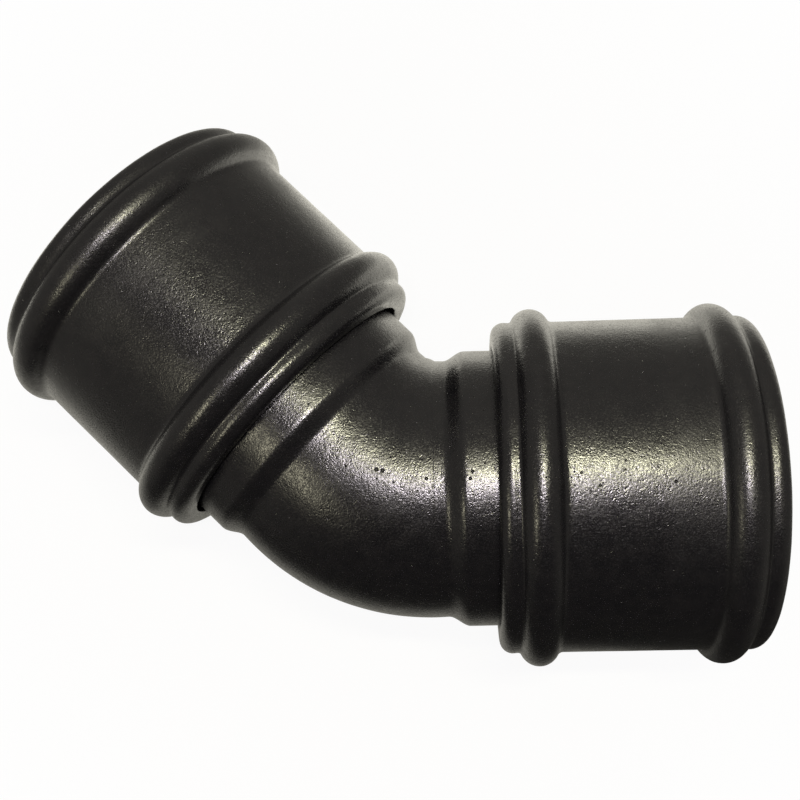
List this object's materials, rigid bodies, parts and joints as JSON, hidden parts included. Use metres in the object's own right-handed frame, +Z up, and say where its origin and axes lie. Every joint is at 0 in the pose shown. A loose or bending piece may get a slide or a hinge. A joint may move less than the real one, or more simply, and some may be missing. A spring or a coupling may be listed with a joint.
{
  "type": "soil pipe bend",
  "caption": "Cast iron 135 degree soil pipe bend with a push-fit double socket collar on each end, lying on its side.",
  "frame": {"origin": "on the surface that the fitting lies on, under the middle of its bounding box", "axes": "+X along the outlet leg and out of its mouth, +Y to the side where the inlet leg goes (its direction is 135 degrees from +X towards +Y), +Z up, square to the plane of the bend"},
  "size_m": [0.3174, 0.2356, 0.1524],
  "materials": {
    "bend_paint": "black satin paint over a cast skin",
    "collar_paint": "black satin paint over a cast skin",
    "seal_rubber": "matt black rubber"
  },
  "bodies": {
    "root": {"bend": "bend_paint", "outlet_collar": "collar_paint", "inlet_collar": "collar_paint", "outlet_bend_seal": "seal_rubber", "outlet_pipe_seal": "seal_rubber", "inlet_bend_seal": "seal_rubber", "inlet_pipe_seal": "seal_rubber"}
  },
  "joints": []
}
